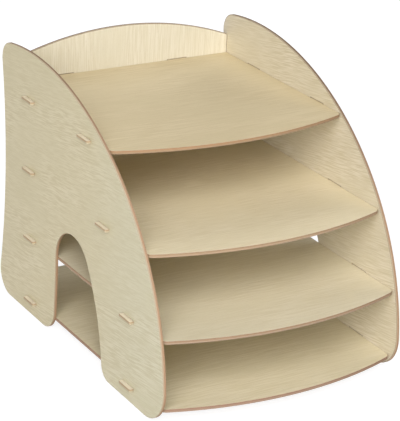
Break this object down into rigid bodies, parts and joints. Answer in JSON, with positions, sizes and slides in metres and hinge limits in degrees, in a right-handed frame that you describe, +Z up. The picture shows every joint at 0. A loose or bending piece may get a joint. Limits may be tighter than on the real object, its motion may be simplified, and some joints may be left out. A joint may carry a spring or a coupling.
{
  "type": "letter tray stack",
  "caption": "Slot-together plywood letter tray stack: curved side panels with arched feet, open bow-fronted shelves on through tabs, a low arched back behind the top shelf",
  "frame": {"origin": "centre of the bounding box, on the surface that the stack stands on", "axes": "+X to the right as seen from the open front, +Y from the bowed fronts to the gallery, +Z up"},
  "size_m": [0.254, 0.3403, 0.2605],
  "materials": {
    "birch_plywood": "unfinished birch plywood, laser cut edges"
  },
  "bodies": {
    "root": {"left_side_panel": "birch_plywood", "right_side_panel": "birch_plywood", "gallery_panel": "birch_plywood", "top_shelf": "birch_plywood", "upper_shelf": "birch_plywood", "lower_shelf": "birch_plywood", "bottom_shelf": "birch_plywood"}
  },
  "joints": []
}
